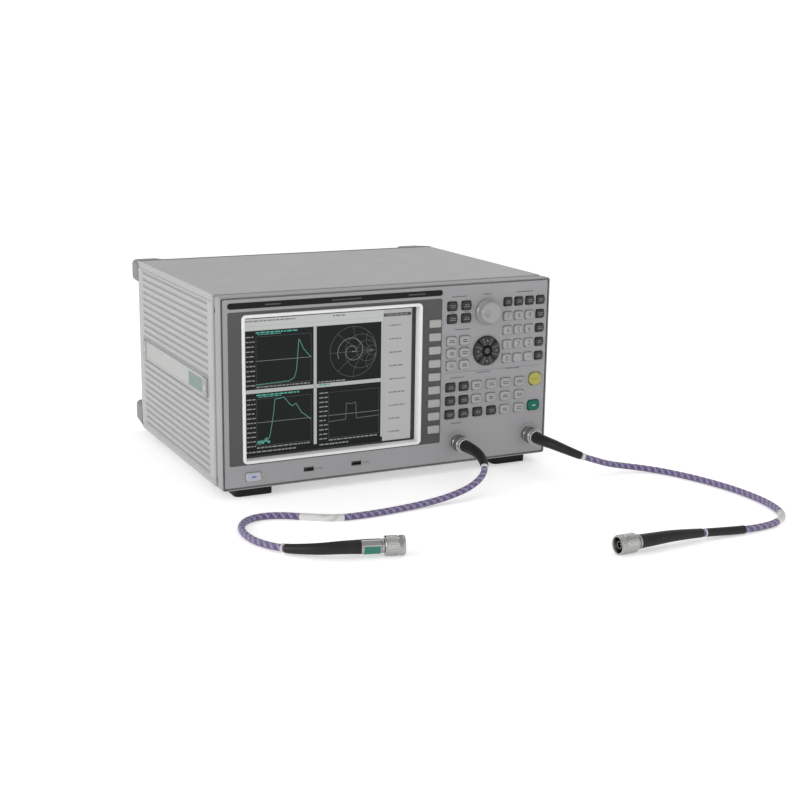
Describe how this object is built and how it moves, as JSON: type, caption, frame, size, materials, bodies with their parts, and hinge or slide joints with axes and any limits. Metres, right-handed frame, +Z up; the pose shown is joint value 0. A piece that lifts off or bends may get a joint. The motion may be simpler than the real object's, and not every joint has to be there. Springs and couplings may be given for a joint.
{
  "type": "vector network analyzer",
  "caption": "Bench-top vector network analyzer with a large display, a keypad, a tuning knob and test ports, and flexible test cables with screw-on coaxial connectors.",
  "frame": {"origin": "on the bench under the middle of the case with its ports and bumpers, without the cables", "axes": "+X to the viewer's right, +Y from the front panel to the rear, +Z up"},
  "size_m": [0.5884, 0.6913, 0.2345],
  "materials": {
    "case_paint": "satin, fine powder texture",
    "panel_paint": "matt mid grey",
    "cover_paint": "satin grey, fine texture",
    "surround_plastic": "fine moulded texture",
    "bezel_plastic": "smooth moulded",
    "strip_gloss": "gloss black",
    "display_glass": "anti-glare sheet over the LCD",
    "sheet_steel": "bare plated sheet",
    "board": "glass-fibre board",
    "machined_metal": "machined blocks",
    "copper_line": "bare copper line",
    "bumper_plastic": "moulded corner",
    "strap_vinyl": "grained vinyl strap",
    "black_plastic": "moulded black",
    "foot_rubber": "matt rubber",
    "light_key": "light grey key",
    "dark_key": "dark grey key",
    "trigger_key": "yellow key",
    "preset_key": "green key",
    "power_key": "silver grey key",
    "knob_plastic": "silver grey knob",
    "led_amber": "small amber lens",
    "connector_steel": "passivated stainless steel",
    "screw_steel": "plated screw",
    "cable_braid": "woven purple braid",
    "boot_rubber": "ribbed black boot"
  },
  "bodies": {
    "case": {"front_frame": "case_paint", "front_panel": "panel_paint", "name_strip": "strip_gloss", "display_surround": "surround_plastic", "display_bezel": "bezel_plastic", "display_window": "display_glass", "lcd_module": "sheet_steel", "key_board": "board", "chassis_tray": "sheet_steel", "top_cover": "cover_paint", "bottom_cover": "cover_paint", "left_side_panel": "case_paint", "right_side_panel": "case_paint", "side_straps": "strap_vinyl", "strap_caps": "black_plastic", "rear_panel": "sheet_steel", "rear_bumpers": "bumper_plastic", "case_feet": "foot_rubber", "port_sockets": "connector_steel", "usb_sockets": "sheet_steel", "standby_led": "led_amber", "main_board": "board", "power_supply": "sheet_steel", "test_set": "machined_metal", "semirigid_lines": "copper_line", "fan_housing": "black_plastic", "fan_guard": "screw_steel", "power_inlet": "black_plastic", "rear_connectors": "connector_steel", "network_jack": "sheet_steel", "case_screws": "screw_steel", "cable_1": "cable_braid", "cable_2": "cable_braid", "cable_boots": "boot_rubber", "port_nuts": "connector_steel", "cable_plugs": "connector_steel"},
    "left_tilt_leg": {"left_tilt_leg": "black_plastic"},
    "right_tilt_leg": {"right_tilt_leg": "black_plastic"},
    "power_key": {"power_key": "power_key"},
    "fan_rotor": {"fan_rotor": "black_plastic"},
    "tuning_knob": {"tuning_knob": "knob_plastic"},
    "up_key": {"up_key": "dark_key"},
    "down_key": {"down_key": "dark_key"},
    "left_key": {"left_key": "dark_key"},
    "right_key": {"right_key": "dark_key"},
    "center_key": {"center_key": "dark_key"},
    "trigger_key": {"trigger_key": "trigger_key"},
    "preset_key": {"preset_key": "preset_key"},
    "softkeys": {"softkeys": "light_key"},
    "channel_keys": {"channel_keys": "dark_key"},
    "response_keys": {"response_keys": "light_key"},
    "entry_top_keys": {"entry_top_keys": "dark_key"},
    "entry_side_keys": {"entry_side_keys": "dark_key"},
    "number_keys": {"number_keys": "light_key"},
    "stimulus_keys": {"stimulus_keys": "dark_key"},
    "sweep_keys": {"sweep_keys": "dark_key"},
    "marker_keys": {"marker_keys": "light_key"},
    "state_keys": {"state_keys": "light_key"},
    "cable_1_far_nut": {"cable_1_far_nut": "connector_steel"},
    "cable_2_far_nut": {"cable_2_far_nut": "connector_steel"}
  },
  "joints": [
    {"name": "power_press", "type": "slide", "parent": "case", "child": "power_key", "axis": [0, 1, 0], "range_m": [0, 0.0012], "stiffness_N_per_m": 300},
    {"name": "up_press", "type": "slide", "parent": "case", "child": "up_key", "axis": [0, 1, 0], "range_m": [0, 0.0012], "stiffness_N_per_m": 300},
    {"name": "down_press", "type": "slide", "parent": "case", "child": "down_key", "axis": [0, 1, 0], "range_m": [0, 0.0012], "stiffness_N_per_m": 300},
    {"name": "left_press", "type": "slide", "parent": "case", "child": "left_key", "axis": [0, 1, 0], "range_m": [0, 0.0012], "stiffness_N_per_m": 300},
    {"name": "right_press", "type": "slide", "parent": "case", "child": "right_key", "axis": [0, 1, 0], "range_m": [0, 0.0012], "stiffness_N_per_m": 300},
    {"name": "center_press", "type": "slide", "parent": "case", "child": "center_key", "axis": [0, 1, 0], "range_m": [0, 0.0012], "stiffness_N_per_m": 300},
    {"name": "trigger_press", "type": "slide", "parent": "case", "child": "trigger_key", "axis": [0, 1, 0], "range_m": [0, 0.0012], "stiffness_N_per_m": 300},
    {"name": "preset_press", "type": "slide", "parent": "case", "child": "preset_key", "axis": [0, 1, 0], "range_m": [0, 0.0012], "stiffness_N_per_m": 300},
    {"name": "softkeys_press", "type": "slide", "parent": "case", "child": "softkeys", "axis": [0, 1, 0], "range_m": [0, 0.0012], "stiffness_N_per_m": 300},
    {"name": "channel_press", "type": "slide", "parent": "case", "child": "channel_keys", "axis": [0, 1, 0], "range_m": [0, 0.0012], "stiffness_N_per_m": 300},
    {"name": "response_press", "type": "slide", "parent": "case", "child": "response_keys", "axis": [0, 1, 0], "range_m": [0, 0.0012], "stiffness_N_per_m": 300},
    {"name": "entry_top_press", "type": "slide", "parent": "case", "child": "entry_top_keys", "axis": [0, 1, 0], "range_m": [0, 0.0012], "stiffness_N_per_m": 300},
    {"name": "entry_side_press", "type": "slide", "parent": "case", "child": "entry_side_keys", "axis": [0, 1, 0], "range_m": [0, 0.0012], "stiffness_N_per_m": 300},
    {"name": "number_press", "type": "slide", "parent": "case", "child": "number_keys", "axis": [0, 1, 0], "range_m": [0, 0.0012], "stiffness_N_per_m": 300},
    {"name": "stimulus_press", "type": "slide", "parent": "case", "child": "stimulus_keys", "axis": [0, 1, 0], "range_m": [0, 0.0012], "stiffness_N_per_m": 300},
    {"name": "sweep_press", "type": "slide", "parent": "case", "child": "sweep_keys", "axis": [0, 1, 0], "range_m": [0, 0.0012], "stiffness_N_per_m": 300},
    {"name": "marker_press", "type": "slide", "parent": "case", "child": "marker_keys", "axis": [0, 1, 0], "range_m": [0, 0.0012], "stiffness_N_per_m": 300},
    {"name": "state_press", "type": "slide", "parent": "case", "child": "state_keys", "axis": [0, 1, 0], "range_m": [0, 0.0012], "stiffness_N_per_m": 300},
    {"name": "knob_turn", "type": "hinge", "parent": "case", "child": "tuning_knob", "pos_m": [0.125, -0.17, 0.197], "axis": [0, -1, 0], "continuous": true},
    {"name": "fan_spin", "type": "hinge", "parent": "case", "child": "fan_rotor", "pos_m": [0.11, 0.137, 0.157], "axis": [0, 1, 0], "continuous": true},
    {"name": "left_leg_fold", "type": "hinge", "parent": "case", "child": "left_tilt_leg", "pos_m": [-0.17, -0.119, 0.007], "axis": [-1, 0, 0], "range_deg": [0, 100]},
    {"name": "right_leg_fold", "type": "hinge", "parent": "case", "child": "right_tilt_leg", "pos_m": [0.17, -0.119, 0.007], "axis": [-1, 0, 0], "range_deg": [0, 100]},
    {"name": "cable_1_nut_turn", "type": "hinge", "parent": "case", "child": "cable_1_far_nut", "pos_m": [-0.11151, -0.40517, 0.0106], "axis": [0.9569, -0.2906, 0], "continuous": true},
    {"name": "cable_2_nut_turn", "type": "hinge", "parent": "case", "child": "cable_2_far_nut", "pos_m": [0.106, -0.49764, 0.0106], "axis": [-0.9998, -0.0183, 0], "continuous": true}
  ]
}
